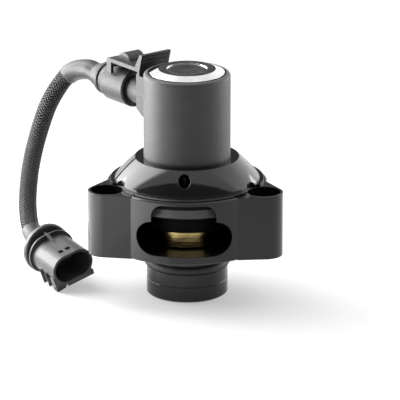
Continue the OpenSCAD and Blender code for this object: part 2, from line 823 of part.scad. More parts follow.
module connector_housing() {
    bottom = -shroud_h / 2;
    side = -shroud_w / 2;
    rib_root = shroud_h / 2 - shroud_wall;
    rib_top = (shroud_h + collar_grow.y) / 2;
    color("#7a7b7e") on_connector() difference() {
        union() {
            linear_extrude(shroud_len) stadium(shroud_w, shroud_h);
            translate([0, 0, collar_z]) linear_extrude(collar_t)
                stadium(shroud_w + collar_grow.x, shroud_h + collar_grow.y);
            rotate([90, 0, 90]) linear_extrude(rib_w, center = true) polygon([
                [rib_root, 0], [rib_top, 0], [rib_top, collar_z + collar_t], [shroud_h / 2, rib_len],
                [rib_root, rib_len],
            ]);
            translate([side + shroud_h / 2 - shroud_wall, bottom - rail_t, rail_start])
                cube([shroud_w - shroud_h / 2, rail_t + shroud_wall, shroud_len - rail_start]);
            for (z = [rail_start, rail_start + rung_step])
                translate([0, 0, z]) linear_extrude(rung_t) fin_outline();
            translate([0, 0, fin_start]) linear_extrude(shroud_len - fin_start) fin_outline();
        }
        translate([0, 0, shroud_len - mouth_depth]) linear_extrude(mouth_depth + over)
            stadium(shroud_w - 2 * shroud_wall, shroud_h - 2 * shroud_wall);
        for (s = [-1, 1])
            translate([s * lock_hole_gap / 2, shroud_h / 2, shroud_len - lock_hole_drop + lock_hole / 2])
                cube([lock_hole, 4 * shroud_wall, lock_hole], center = true);
    }
}

module connector_terminals() {
    back = shroud_len - mouth_depth;
    color("#c9a64a") on_connector() for (s = [-1, 1])
        translate([s * pin_gap / 2, 0, back]) cylinder(r = pin_r, h = pin_len);
}

valve_body();
base_o_ring();
solenoid_retainer();
retainer_o_ring();
piston();
piston_ring();
piston_spring();
solenoid_gasket();
solenoid_housing();
top_disc();
yoke();
coil_bobbin();
coil_winding();
fixed_core();
lower_pole();
plunger();
plunger_seal();
plunger_spring();
socket_terminals();
plug_housing();
plug_terminals();
plug_seal();
plug_latch();
plug_rear_cap();
upper_sleeve();
lead_cord();
lower_sleeve();
connector_rear_cap();
connector_housing();
connector_terminals();
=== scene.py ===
import json
import math

import bmesh
import bpy
import numpy as np
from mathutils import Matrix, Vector


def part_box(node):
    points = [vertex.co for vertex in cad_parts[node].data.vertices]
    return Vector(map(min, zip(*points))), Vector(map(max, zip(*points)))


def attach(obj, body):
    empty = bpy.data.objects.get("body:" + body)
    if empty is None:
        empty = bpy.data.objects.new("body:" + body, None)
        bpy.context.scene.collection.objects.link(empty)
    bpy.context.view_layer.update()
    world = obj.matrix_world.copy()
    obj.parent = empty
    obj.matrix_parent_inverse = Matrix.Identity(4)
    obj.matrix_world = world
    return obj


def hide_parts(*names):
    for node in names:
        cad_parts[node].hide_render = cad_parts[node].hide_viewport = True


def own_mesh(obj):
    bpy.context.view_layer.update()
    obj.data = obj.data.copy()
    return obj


bl_info = {
    "name": "Blow off valve finishes",
    "version": (1, 0, 0),
    "blender": (4, 5, 0),
    "location": "View3D > Sidebar > Valve",
    "description": "Finishes, lead, springs and studio for a solenoid blow off valve with its lead",
    "category": "Object",
}

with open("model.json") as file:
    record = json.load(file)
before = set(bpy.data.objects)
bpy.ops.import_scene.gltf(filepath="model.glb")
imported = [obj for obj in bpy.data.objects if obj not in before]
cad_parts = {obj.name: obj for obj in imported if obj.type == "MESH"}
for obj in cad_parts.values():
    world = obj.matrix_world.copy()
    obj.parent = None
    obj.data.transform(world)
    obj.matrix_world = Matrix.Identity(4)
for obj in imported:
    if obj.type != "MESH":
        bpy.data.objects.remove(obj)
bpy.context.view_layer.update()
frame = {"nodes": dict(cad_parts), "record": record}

# The lead's route from the plug's rear cap to the end connector, in metres
LEAD_ROUTE = np.array([
    (-0.03513, 0.04186, 0.0520), (-0.0388, 0.0458, 0.0527), (-0.0438, 0.0504, 0.0512),
    (-0.0476, 0.0528, 0.0484), (-0.0509, 0.0536, 0.0442), (-0.0551, 0.0526, 0.0368),
    (-0.0582, 0.0498, 0.0282), (-0.0607, 0.0458, 0.0188), (-0.0620, 0.0408, 0.0098),
    (-0.0620, 0.0342, 0.0012), (-0.0602, 0.0266, -0.0048), (-0.0559, 0.0184, -0.0078),
])
ROUTE_END = len(LEAD_ROUTE) - 1
# The stretch of the route, counted in its points, that each shrunk sleeve covers
UPPER_SPAN = (0, 3)
LOWER_SPAN = (ROUTE_END - 1, ROUTE_END)
# The ways the lead leaves the plug, as a turn about the valve's axis, and enters the end connector
SOCKET_ANGLE = math.radians(130)
CONNECTOR_AXIS = np.array(next(
    mount["axis"] for mount in frame["record"]["mounts"] if mount["name"] == "connector_mouth"))

# Steps along the lead, along a sleeve and in the measuring of the route, and along a turn of spring wire
LEAD_STEPS = 330
SLEEVE_STEPS = 70
ROUTE_STEPS = 4000
TURN_STEPS = 48
# Sides of each round section
STRAND_SIDES = 6
CORE_SIDES = 24
SLEEVE_SIDES = 48
WIRE_SIDES = 10
# A strand's map runs from minus to plus this across the strand
STRAND_MAP = 4.0

# Each spring's piece, its CAD node, the joint that squeezes it, its turns and its wire's radius in metres
SPRINGS = (
    ("piston_coil", "piston_spring", "piston_lift", 6, 0.0006),
    ("plunger_coil", "plunger_spring", "plunger_lift", 7, 0.00035),
)

# Heights where the retainer's finish changes: the register's foot and top, and the flange's foot; between
# the register's top and the flange's foot its colour and gloss are painted shade
BODY_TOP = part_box("valve_body")[1].z
RETAINER_LEVELS = (BODY_TOP - 0.0081, BODY_TOP - 0.0045, BODY_TOP - 0.0001)
ANODISED_IOR = 1.45
ANODISED_LINE_DEPTH = 0.0000012
# Noise keeps within about this range
NOISE_LOW, NOISE_HIGH = 0.3, 0.7

BLACK = (0, 0, 0, 1)
WHITE = (1, 1, 1, 1)

# The studio's floor, in metres; a brightness of 1 reads as white
SPIGOT_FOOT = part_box("valve_body")[0].z
FLOOR_REACH = 4.0
FLOOR_POINTS = 9
FLOOR_GAP = 0.00002
FLOOR_GREY, FLOOR_GREY_SEEN = 0.3, 0.45
FLOOR_GLOW_SEEN = 0.35
# The floor turns white between these distances from a point near the valve
WHITE_MIDDLE = (-0.02, 0.02, SPIGOT_FOOT)
WHITE_FROM, WHITE_TO = 0.10, 0.30
# Brightness of the white floor and of the world where they light matt surfaces
DIM_WHITE = 0.35

# Each soft box at a side: its name, place, turn, size and brightness
BOXES = (
    ("left_box", (-0.25, 0.08, 0.06), (0, -math.pi / 2, 0), (0.15, 0.24), 14.5),
    ("right_box", (0.25, 0.16, 0.06), (0, math.pi / 2, 0), (0.15, 0.28), 4.5),
)
# Cards on the floor at the left, stacked from small to large, so that gloss shows them with a soft edge
CARD_COUNT = 6
CARD_PLACE = (-0.19, -0.07)
CARD_SIZE = (0.23, 0.26)
CARD_BRIGHTNESS = 0.5
CARD_LIFT, CARD_LIFT_STEP = 0.001, 0.0002
CARD_SCALE, CARD_SCALE_STEP = 0.6, 0.16

# The light tent is part of a sphere of one metre's radius; its axis rises towards the back, in degrees
TENT_RISE = 53.3
TENT_INNER_ANGLE, TENT_OUTER_ANGLE = 0.3, 57.4
TENT_GLOW = 10.0
# Greys of the tent's cloth, by how far to the right they lie
TENT_SIDE = 0.9
TENT_GREYS = (
    (-0.9, 0.97), (-0.75, 0.97), (-0.6, 0.9), (-0.45, 0.65), (-0.3, 0.4), (-0.12, 0.17),
    (0.0, 0.14), (0.4, 0.14), (0.7, 0.2), (0.9, 0.28),
)
# The greys move to the left by up to this shift between these distances to the back
TENT_SHIFT = 0.33
TENT_SHIFT_FROM, TENT_SHIFT_TO = 0.35, 1.0
# The bright cloth ends at a front edge, where y plus the lean times z is in this range; past it is grey
EDGE_LEAN = 0.74
EDGE_FROM, EDGE_TO = 0.57, 0.63
EDGE_GREY = 0.14

# A dark flag before the tent's back, and an unlit room as a dome, from its rim to its top in degrees
FLAG_LEFT, FLAG_RIGHT = -0.095, 0.075
FLAG_FOOT, FLAG_TOP = 0.155, 0.40
FLAG_BACK = 0.5
FLAG_GLOW = 0.1
ROOM_RADIUS = 3.0
ROOM_RIM, ROOM_TOP = 15, 89.5
ROOM_GLOW = 0.15
DOME_ROWS, DOME_COLUMNS = 24, 64

CAMERA_SENSOR = 36.0
CAMERA_REACH = 20.0


class ViewSizes(bpy.types.PropertyGroup):
    """Where the camera stands and what it looks at."""

    azimuth: bpy.props.FloatProperty(
        name="Azimuth", description="Turn of the camera round the valve", subtype="ANGLE",
        default=math.radians(2.39))
    elevation: bpy.props.FloatProperty(
        name="Elevation", description="Height angle of the camera", subtype="ANGLE",
        default=math.radians(17.48))
    distance: bpy.props.FloatProperty(
        name="Distance", description="Distance from the camera to the aim", unit="LENGTH", default=1.8)
    aim_height: bpy.props.FloatProperty(
        name="Aim height", description="Height of the aim on the valve's axis", unit="LENGTH",
        default=0.0207)
    aim_right: bpy.props.FloatProperty(
        name="Aim right", description="Shift of the aim to the right of the axis", unit="LENGTH",
        default=0.00478)
    aim_down: bpy.props.FloatProperty(
        name="Aim down", description="Shift of the aim down the picture", unit="LENGTH",
        default=0.00452)
    lens: bpy.props.FloatProperty(
        name="Lens", description="Focal length in millimetres", unit="CAMERA", default=437.0)


class LeadSizes(bpy.types.PropertyGroup):
    """Sizes of the braided lead and its shrunk sleeves."""

    radius: bpy.props.FloatProperty(
        name="Radius", description="Outer radius of the braid", unit="LENGTH", default=0.0035)
    carriers: bpy.props.IntProperty(
        name="Carriers", description="Strands of the braid that run each way round", default=16)
    strand_half_width: bpy.props.FloatProperty(
        name="Strand half width", description="Half the width of a flat strand", unit="LENGTH",
        default=0.0004)
    strand_half_depth: bpy.props.FloatProperty(
        name="Strand half depth", description="Half the thickness of a strand", unit="LENGTH",
        default=0.00016)
    crimp: bpy.props.FloatProperty(
        name="Crimp", description="How far a strand rises and falls at its crossings", unit="LENGTH",
        default=0.0002)
    sleeve_radius: bpy.props.FloatProperty(
        name="Sleeve radius", description="Outer radius of a shrunk sleeve", unit="LENGTH",
        default=0.0038)


class FinishColours(bpy.types.PropertyGroup):
    """Colours of the valve's finishes."""

    anodised: bpy.props.FloatVectorProperty(
        name="Anodised black", description="Dye of the anodised body", subtype="COLOR", size=3,
        default=(0.006, 0.0062, 0.0066))
    solenoid: bpy.props.FloatVectorProperty(
        name="Solenoid", description="Moulded housing of the solenoid", subtype="COLOR", size=3,
        default=(0.058, 0.059, 0.061))
    plug: bpy.props.FloatVectorProperty(
        name="Plug", description="Plug, latch and end connector mouldings", subtype="COLOR", size=3,
        default=(0.030, 0.030, 0.031))
    braid: bpy.props.FloatVectorProperty(
        name="Braid", description="Strands of the lead", subtype="COLOR", size=3,
        default=(0.012, 0.012, 0.0125))
    brass: bpy.props.FloatVectorProperty(
        name="Brass", description="Turned piston", subtype="COLOR", size=3,
        default=(0.52, 0.40, 0.17))
    steel: bpy.props.FloatVectorProperty(
        name="Steel", description="Bright steel disc and cores", subtype="COLOR", size=3,
        default=(0.62, 0.62, 0.63))


def settings(name):
    """The scene's property group of that name."""
    return getattr(bpy.context.scene, name)


# Node trees

def fill(tree, target, inputs):
    """Fills a node's inputs by name or number: a socket is linked, and any other value is set."""
    for key, value in inputs.items():
        if isinstance(value, bpy.types.NodeSocket):
            tree.links.new(value, target.inputs[key])
        else:
            target.inputs[key].default_value = value


def node(tree, kind, inputs=None, **properties):
    """A new shader node with its properties set and its inputs filled."""
    made = tree.nodes.new(kind)
    for key, value in properties.items():
        setattr(made, key, value)
    fill(tree, made, inputs or {})
    return made


def existing(tree, kind):
    """The tree's own node of a kind."""
    return next(n for n in tree.nodes if n.type == kind)


def new_material(name, **values):
    """A material with one Principled shader, and values for the shader's sockets, with _ for a space."""
    material = bpy.data.materials.new(name)
    material.use_nodes = True
    tree = material.node_tree
    shader = existing(tree, "BSDF_PRINCIPLED")
    fill(tree, shader, {key.replace("_", " "): value for key, value in values.items()})
    return material, tree, shader


def reckon(tree, operation, *terms):
    """The result of one operation on numbers and sockets."""
    return node(tree, "ShaderNodeMath", dict(enumerate(terms)), operation=operation).outputs["Value"]


def object_place(tree):
    """The object's own coordinates, in metres."""
    return node(tree, "ShaderNodeTexCoord").outputs["Object"]


def split(tree, place):
    """The X, Y and Z of a place."""
    return node(tree, "ShaderNodeSeparateXYZ", {"Vector": place}).outputs


def object_noise(tree, scale, detail=3.0, stretch=(1, 1, 1)):
    """Grey noise on the object's own coordinates, stretched along its axes."""
    mapping = node(tree, "ShaderNodeMapping", {"Vector": object_place(tree), "Scale": stretch})
    noise = node(tree, "ShaderNodeTexNoise", {
        "Vector": mapping.outputs["Vector"], "Scale": scale, "Detail": detail})
    return noise.outputs["Fac"]


def turned_lines(tree, per_metre):
    """Fine lines of turning: noise that varies along the valve's axis and stays level round it."""
    return object_noise(tree, per_metre, detail=2.0, stretch=(0.02, 0.02, 1.0))


def ranged(tree, value, low, high, start=NOISE_LOW, end=NOISE_HIGH):
    """The value mapped from its range, start to end, to the range low to high."""
    step = node(tree, "ShaderNodeMapRange", {
        "Value": value, "From Min": start, "From Max": end, "To Min": low, "To Max": high})
    return step.outputs["Result"]


def set_stops(ramp, stops):
    """Gives a colour ramp one stop for each place and colour."""
    elements = ramp.color_ramp.elements
    while len(elements) < len(stops):
        elements.new(0.5)
    for element, (place, colour) in zip(elements, stops):
        element.position = place
        element.color = (*colour, 1)


def tinted(tree, shader, value, dark, light):
    """Base colour that runs from dark to light as the value runs over the range of noise."""
    ramp = node(tree, "ShaderNodeValToRGB", {"Fac": value})
    set_stops(ramp, ((NOISE_LOW, dark), (NOISE_HIGH, light)))
    fill(tree, shader, {"Base Color": ramp.outputs["Color"]})


def bumped(tree, shader, value, height, edge=0.0):
    """Bump of that height in metres from the value, over edges eased to a radius if one is given."""
    bump = node(tree, "ShaderNodeBump", {"Height": value, "Distance": height, "Strength": 1.0})
    if edge:
        eased = node(tree, "ShaderNodeBevel", {"Radius": edge}, samples=4)
        fill(tree, bump, {"Normal": eased.outputs["Normal"]})
    fill(tree, shader, {"Normal": bump.outputs["Normal"]})


def by_height(tree, levels, values):
    """A grey that steps from value to value at the given heights in metres along the valve's axis."""
    height = split(tree, object_place(tree))["Z"]
    result = values[0]
    for level, step in zip(levels, np.diff(values)):
        above = reckon(tree, "GREATER_THAN", height, level)
        result = reckon(tree, "MULTIPLY_ADD", above, float(step), result)
    return result


def seen_rays(tree):
    """One for rays that show a surface to the camera, straight or in gloss or glass, and else zero."""
    rays = node(tree, "ShaderNodeLightPath").outputs
    shown = reckon(tree, "MAXIMUM", rays["Is Camera Ray"], rays["Is Glossy Ray"])
    return reckon(tree, "MAXIMUM", shown, rays["Is Transmission Ray"])


def unseen_or_seen(tree, unseen, seen):
    """One value for rays that only light a surface, and another for rays that show it to the camera."""
    return ranged(tree, seen_rays(tree), unseen, seen, 0.0, 1.0)


def shade(colour, factor):
    """A colour made lighter or darker by a factor."""
    return tuple(c * factor for c in colour)


# Finishes

def anodised_metal():
    """Gloss black anodised aluminium with faint turning lines and a slight cloud in its gloss."""
    colour = settings("finish_colours").anodised
    material, tree, shader = new_material("gloss_black_anodised", IOR=ANODISED_IOR)
    tinted(tree, shader, object_noise(tree, scale=90.0), shade(colour, 0.8), shade(colour, 1.25))
    cloud = object_noise(tree, scale=240.0, detail=4.0)
    fill(tree, shader, {"Roughness": ranged(tree, cloud, 0.11, 0.17)})
    bumped(tree, shader, turned_lines(tree, 9000.0), ANODISED_LINE_DEPTH, edge=0.0003)
    return material


def retainer_metal():
    """The retainer's finish: dull black on its sleeve, satin on the register, painted shade on the neck
    above its register as near black with little gloss, and gloss on its flange and cone."""
    material, tree, shader = new_material("retainer_anodised", IOR=ANODISED_IOR)
    # The third step of the greys, roughness and specular level is painted shade under the window's top
    # edge, on the neck above the register
    grey = by_height(tree, RETAINER_LEVELS, (0.002, 0.08, 0.003, 0.006))
    dye_cloud = ranged(tree, object_noise(tree, scale=90.0), 0.8, 1.25)
    rough = by_height(tree, RETAINER_LEVELS, (0.5, 0.3, 0.5, 0.045))
    gloss_cloud = ranged(tree, object_noise(tree, scale=240.0, detail=4.0), 0.0, 0.05)
    fill(tree, shader, {
        "Base Color": reckon(tree, "MULTIPLY", grey, dye_cloud),
        "Roughness": reckon(tree, "ADD", rough, gloss_cloud),
        "Specular IOR Level": by_height(tree, RETAINER_LEVELS, (0.08, 0.5, 0.1, 0.5)),
    })
    bumped(tree, shader, turned_lines(tree, 9000.0), ANODISED_LINE_DEPTH, edge=0.0004)
    return material


def moulded_plastic(name, colour, roughness, grain=0.000006):
    """Matt moulded plastic: a fine spark grain in the bump and a soft cloud in colour and gloss."""
    material, tree, shader = new_material(name, IOR=1.42)
    stain = object_noise(tree, scale=130.0, detail=4.0)
    tinted(tree, shader, stain, shade(colour, 0.9), shade(colour, 1.1))
    cloud = ranged(tree, object_noise(tree, scale=700.0), roughness - 0.05, roughness + 0.05)
    fill(tree, shader, {"Roughness": cloud})
    bumped(tree, shader, object_noise(tree, scale=4200.0, detail=2.0), grain, edge=0.0003)
    return material


def solenoid_plastic():
    """The solenoid's moulding, with a painted shadow line where its top face meets the steel disc: colour
    and gloss go dark within a little more than the disc's radius.
    """
    material = moulded_plastic("solenoid_moulding", settings("finish_colours").solenoid, 0.52)
    tree = material.node_tree
    shader = existing(tree, "BSDF_PRINCIPLED")
    disc_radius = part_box("top_disc")[1].x
    # Painted shadow: colour and specular level drop inside this ring round the steel disc
    shadow_line_start, shadow_line_end = disc_radius + 0.0004, disc_radius + 0.0007
    flat = node(tree, "ShaderNodeVectorMath", {0: object_place(tree), 1: (1, 1, 0)}, operation="MULTIPLY")
    reach = node(tree, "ShaderNodeVectorMath", {0: flat.outputs["Vector"]}, operation="LENGTH")
    outside_painted_shadow = ranged(tree, reach.outputs["Value"], 0.04, 1.0, shadow_line_start, shadow_line_end)
    colour = shader.inputs["Base Color"].links[0].from_socket
    mix = node(tree, "ShaderNodeMix", {"Factor": 1.0, "A": colour, "B": outside_painted_shadow},
               data_type="RGBA", blend_type="MULTIPLY")
    fill(tree, shader, {
        "Base Color": mix.outputs["Result"],
        "Specular IOR Level": ranged(tree, outside_painted_shadow, 0.02, 0.5, 0.0, 1.0),
    })
    return material


def turned_metal(name, colour, roughness, depth=0.000003):
    """Turned metal: lines of that depth round its axis, in the gloss too, and a faint stain."""
    material, tree, shader = new_material(name, Metallic=1.0)
    stain = object_noise(tree, scale=160.0, detail=4.0)
    tinted(tree, shader, stain, shade(colour, 0.82), shade(colour, 1.08))
    lines = turned_lines(tree, 5200.0)
    fill(tree, shader, {"Roughness": ranged(tree, lines, roughness - 0.06, roughness + 0.08)})
    bumped(tree, shader, lines, depth, edge=0.00015)
    return material


def soft_rubber():
    """Black rubber with a dull bloom."""
    material, tree, shader = new_material("seal_rubber", IOR=1.5, Roughness=0.55)
    bloom = object_noise(tree, scale=500.0, detail=4.0)
    tinted(tree, shader, bloom, (0.008, 0.008, 0.008), (0.018, 0.018, 0.018))
    bumped(tree, shader, object_noise(tree, scale=2600.0), 0.000004)
    return material


def wound_copper():
    """Enamelled copper wire: close turns round the axis as a wave in the bump."""
    material, tree, shader = new_material("wound_copper", Metallic=1.0, Roughness=0.3)
    tinted(tree, shader, object_noise(tree, scale=300.0), (0.42, 0.17, 0.07), (0.56, 0.25, 0.11))
    place = object_place(tree)
    turns = node(tree, "ShaderNodeTexWave", {"Vector": place, "Scale": 900.0}, bands_direction="Z")
    bumped(tree, shader, turns.outputs["Fac"], 0.00004)
    return material


def braided_strand():
    """Strands of the lead: filaments along each strand from its own map, with painted light on its back
    and painted shade at its sides and on the core between the strands."""
    colour = settings("finish_colours").braid
    material, tree, shader = new_material(
        "braided_strand", IOR=1.5, Roughness=0.42, Specular_IOR_Level=0.2)
    strand_map = node(tree, "ShaderNodeUVMap", uv_map="strand").outputs["UV"]
    mapping = node(tree, "ShaderNodeMapping", {"Vector": strand_map, "Scale": (1, 700, 1)})
    noise = node(tree, "ShaderNodeTexNoise", {
        "Vector": mapping.outputs["Vector"], "Scale": 1.0, "Detail": 3.0})
    # Painted light and shade: each strand is lighter on its middle and darker at its sides, by how far
    # across it the point lies
    side = reckon(tree, "ABSOLUTE", split(tree, strand_map)["X"])
    back = ranged(tree, side, 1.4, 0.2, 0.5, STRAND_MAP)
    tone_and_painted_shade = reckon(tree, "MULTIPLY", noise.outputs["Fac"], back)
    tinted(tree, shader, tone_and_painted_shade, shade(colour, 0.3), shade(colour, 11.0))
    filaments = node(tree, "ShaderNodeTexWave", {"Vector": strand_map, "Scale": 1.1}, bands_direction="X")
    bumped(tree, shader, filaments.outputs["Fac"], 0.00004)
    return material


# Surfaces

def new_piece(name, points, faces, material):
    """A smooth mesh object at the origin from arrays of points and faces."""
    mesh = bpy.data.meshes.new(name)
    mesh.from_pydata(points.tolist(), [], faces.tolist())
    mesh.shade_smooth()
    mesh.materials.append(material)
    mesh.update()
    piece = bpy.data.objects.new(name, mesh)
    bpy.context.scene.collection.objects.link(piece)
    return piece


def round_angles(count):
    """Even angles once round, in radians."""
    return np.linspace(0, 2 * np.pi, count, endpoint=False)


def grid_faces(rows, columns):
    """Quads over a grid whose columns close on themselves: corner (i, k) joins (i + 1, k + 1)."""
    i, k = np.meshgrid(np.arange(rows - 1), np.arange(columns), indexing="ij")
    low, high = i * columns, (i + 1) * columns
    following = (k + 1) % columns
    return np.stack([low + k, low + following, high + following, high + k], -1).reshape(-1, 4)


def sheet_faces(rows, columns):
    """Quads over an open grid: corner (i, k) joins (i + 1, k + 1)."""
    i, k = np.meshgrid(np.arange(rows - 1), np.arange(columns - 1), indexing="ij")
    first = i * columns + k
    return np.stack([first, first + columns, first + columns + 1, first + 1], -1).reshape(-1, 4)


def unit(vectors):
    """Each vector at length one."""
    return vectors / np.linalg.norm(vectors, axis=-1, keepdims=True)


def outward(angle, across, other):
    """Directions out from a path: cos angle along one axis across it, and sin angle along the other."""
    return np.cos(angle)[..., None] * across + np.sin(angle)[..., None] * other


def tube_points(frames, radius, sides):
    """Points of a round tube: centre + radius * (cos v, sin v) across the path, where the radius may vary
    along the path and round it."""
    centres, across, other, _ = frames
    out = outward(round_angles(sides)[None], across[:, None], other[:, None])
    reach = np.broadcast_to(radius, (len(centres), sides))[..., None]
    return (centres[:, None] + reach * out).reshape(-1, 3)


def tube(name, frames, radius, sides, material):
    """A round tube along a path, with closed ends."""
    faces = grid_faces(len(frames[0]), sides)
    piece = new_piece(name, tube_points(frames, radius, sides), faces, material)
    close_ends(piece)
    return piece


def close_ends(piece):
    """Closes the open ends of a piece's tubes, so that each is one solid."""
    work = bmesh.new()
    work.from_mesh(piece.data)
    bmesh.ops.holes_fill(work, edges=[e for e in work.edges if e.is_boundary], sides=0)
    bmesh.ops.recalc_face_normals(work, faces=work.faces)
    work.to_mesh(piece.data)
    work.free()


# Stage

class VALVE_OT_stage(bpy.types.Operator):
    """Camera, floor, light tent, soft boxes and the dark room round them."""

    bl_idname = "valve.stage"
    bl_label = "Set the studio"

    def execute(self, context):
        make_camera()
        make_floor()
        make_tent()
        make_lamps()
        make_world()
        make_dark_room()
        return {"FINISHED"}


def make_camera():
    """A long lens from the photograph's height and side."""
    sizes = settings("view_sizes")
    a, e = sizes.azimuth, sizes.elevation
    right = Vector((math.cos(a), math.sin(a), 0))
    forward = Vector((-math.sin(a) * math.cos(e), math.cos(a) * math.cos(e), -math.sin(e)))
    up = right.cross(forward)
    aim = Vector((0, 0, sizes.aim_height)) + right * sizes.aim_right - up * sizes.aim_down
    data = bpy.data.cameras.new("camera")
    data.lens = sizes.lens
    data.sensor_width = CAMERA_SENSOR
    data.clip_end = CAMERA_REACH
    camera = bpy.data.objects.new("camera", data)
    camera.location = aim - forward * sizes.distance
    camera.rotation_euler = forward.to_track_quat("-Z", "Y").to_euler()
    bpy.context.scene.collection.objects.link(camera)
    bpy.context.scene.camera = camera


def hide_from(piece, *rays):
    """Hides a stage piece from kinds of rays."""
    for kind in rays:
        setattr(piece, "visible_" + kind, False)


def floor_cloth():
    """The floor's pale cloth, which is seen as white away from the valve."""
    material, tree, shader = new_material(
        "pale_floor", Roughness=0.9, Specular_IOR_Level=0.0, Emission_Color=WHITE)
    fill(tree, shader, {
        "Base Color": unseen_or_seen(tree, FLOOR_GREY, FLOOR_GREY_SEEN),
        "Emission Strength": unseen_or_seen(tree, 0.0, FLOOR_GLOW_SEEN),
    })
    distance = node(
        tree, "ShaderNodeVectorMath", {0: object_place(tree), 1: WHITE_MIDDLE}, operation="DISTANCE")
    away = ranged(tree, distance.outputs["Value"], 0.0, 1.0, WHITE_FROM, WHITE_TO)
    white = node(tree, "ShaderNodeEmission", {"Strength": unseen_or_seen(tree, DIM_WHITE, 1.0)})
    mix = node(tree, "ShaderNodeMixShader", {
        "Fac": away, 1: shader.outputs["BSDF"], 2: white.outputs["Emission"]})
    fill(tree, existing(tree, "OUTPUT_MATERIAL"), {"Surface": mix.outputs["Shader"]})
    return material


def make_floor():
    """A pale square floor just under the spigot's foot: a level grid of even steps both ways."""
    reach = np.linspace(-FLOOR_REACH, FLOOR_REACH, FLOOR_POINTS)
    x, y = np.meshgrid(reach, reach, indexing="ij")
    points = np.stack([x, y, np.full_like(x, SPIGOT_FOOT - FLOOR_GAP)], -1).reshape(-1, 3)
    floor = new_piece("floor", points, sheet_faces(FLOOR_POINTS, FLOOR_POINTS), floor_cloth())


def glowing_cloth(name, glow):
    """Black cloth that only glows."""
    return new_material(
        name, Base_Color=BLACK, Roughness=1.0, Specular_IOR_Level=0.0, Emission_Color=WHITE,
        Emission_Strength=glow)


def tent_cloth():
    """The tent's lit cloth: brightest at the left, duller to the right and to the back, and dull in front
    of an edge that runs forward as it rises."""
    material, tree, shader = glowing_cloth("lit_cloth", TENT_GLOW)
    place = split(tree, object_place(tree))
    shift = ranged(tree, place["Y"], 0.0, TENT_SHIFT, TENT_SHIFT_FROM, TENT_SHIFT_TO)
    across = reckon(tree, "ADD", place["X"], shift)
    share = ranged(tree, across, 0.0, 1.0, -TENT_SIDE, TENT_SIDE)
    ramp = node(tree, "ShaderNodeValToRGB", {"Fac": share})
    set_stops(ramp, [((x + TENT_SIDE) / (2 * TENT_SIDE), (grey,) * 3) for x, grey in TENT_GREYS])
    edge = reckon(tree, "MULTIPLY_ADD", place["Z"], EDGE_LEAN, place["Y"])
    bright = ranged(tree, edge, 0.0, 1.0, EDGE_FROM, EDGE_TO)
    dull = (EDGE_GREY, EDGE_GREY, EDGE_GREY, 1)
    mix = node(tree, "ShaderNodeMix", {"Factor": bright, "A": dull, "B": ramp.outputs["Color"]},
               data_type="RGBA")
    fill(tree, shader, {"Emission Color": mix.outputs["Result"]})
    return material


def make_tent():
    """Lit cloth over the sides, top and back, as a cap of a sphere about an axis that rises to the back,
    and a dark flag before it. The cap's points are cos a * axis + sin a * (cos b * right + sin b * back),
    where a runs out from the axis and b runs round it."""
    rise = math.radians(TENT_RISE)
    axis = np.array([0, math.cos(rise), math.sin(rise)])
    right = np.array([1.0, 0, 0])
    a = np.radians(np.linspace(TENT_INNER_ANGLE, TENT_OUTER_ANGLE, DOME_ROWS))[:, None, None]
    b = round_angles(DOME_COLUMNS)[None]
    back = np.cross(axis, right)
    points = (np.cos(a) * axis + np.sin(a) * outward(b, right, back)).reshape(-1, 3)
    tent = new_piece("light_tent", points, grid_faces(DOME_ROWS, DOME_COLUMNS), tent_cloth())
    hide_from(tent, "camera", "shadow")
    corners = np.array([(x, FLAG_BACK, z) for x in (FLAG_LEFT, FLAG_RIGHT) for z in (FLAG_FOOT, FLAG_TOP)])
    flag = new_piece("dark_flag", corners, sheet_faces(2, 2), glowing_cloth("flag_cloth", FLAG_GLOW)[0])
    hide_from(flag, "camera", "diffuse", "shadow", "transmission")


def add_card(name, place, turn, size, brightness):
    """A rectangular soft lamp, which a mirror shows at that brightness."""
    data = bpy.data.lights.new(name, "AREA")
    data.shape = "RECTANGLE"
    data.size, data.size_y = size
    data.energy = brightness * math.pi * size[0] * size[1]
    card = bpy.data.objects.new(name, data)
    card.location = place
    card.rotation_euler = turn
    hide_from(card, "camera")
    bpy.context.scene.collection.objects.link(card)
    return card


def make_lamps():
    """A low soft box at each side, and stacked cards on the floor at the left that only gloss shows."""
    for box in BOXES:
        add_card(*box)
    for step in range(CARD_COUNT):
        level = SPIGOT_FOOT + CARD_LIFT + CARD_LIFT_STEP * step
        scale = CARD_SCALE + CARD_SCALE_STEP * step
        size = (CARD_SIZE[0] * scale, CARD_SIZE[1] * scale)
        card = add_card("left_floor_card", (*CARD_PLACE, level), (math.pi, 0, 0), size, CARD_BRIGHTNESS)
        hide_from(card, "diffuse")


def make_world():
    """White all round where it is seen, and dimmer where it lights matt surfaces."""
    world = bpy.data.worlds.new("studio")
    world.use_nodes = True
    tree = world.node_tree
    fill(tree, existing(tree, "BACKGROUND"), {
        "Color": WHITE, "Strength": unseen_or_seen(tree, DIM_WHITE, 1.0)})
    bpy.context.scene.world = world


def make_dark_room():
    """The unlit room that gloss shows past the tent: a dome from a low rim to its top, with points at
    radius * (cos rise * cos turn, cos rise * sin turn, sin rise)."""
    rise = np.radians(np.linspace(ROOM_RIM, ROOM_TOP, DOME_ROWS))
    turn = round_angles(DOME_COLUMNS)
    points = ROOM_RADIUS * np.stack([
        np.outer(np.cos(rise), np.cos(turn)), np.outer(np.cos(rise), np.sin(turn)),
        np.outer(np.sin(rise), np.ones_like(turn))], -1).reshape(-1, 3)
    faces = grid_faces(DOME_ROWS, DOME_COLUMNS)
    dome = new_piece("dark_dome", points, faces, glowing_cloth("unlit_room", ROOM_GLOW)[0])
    hide_from(dome, "camera", "diffuse", "shadow", "transmission")


# Lead

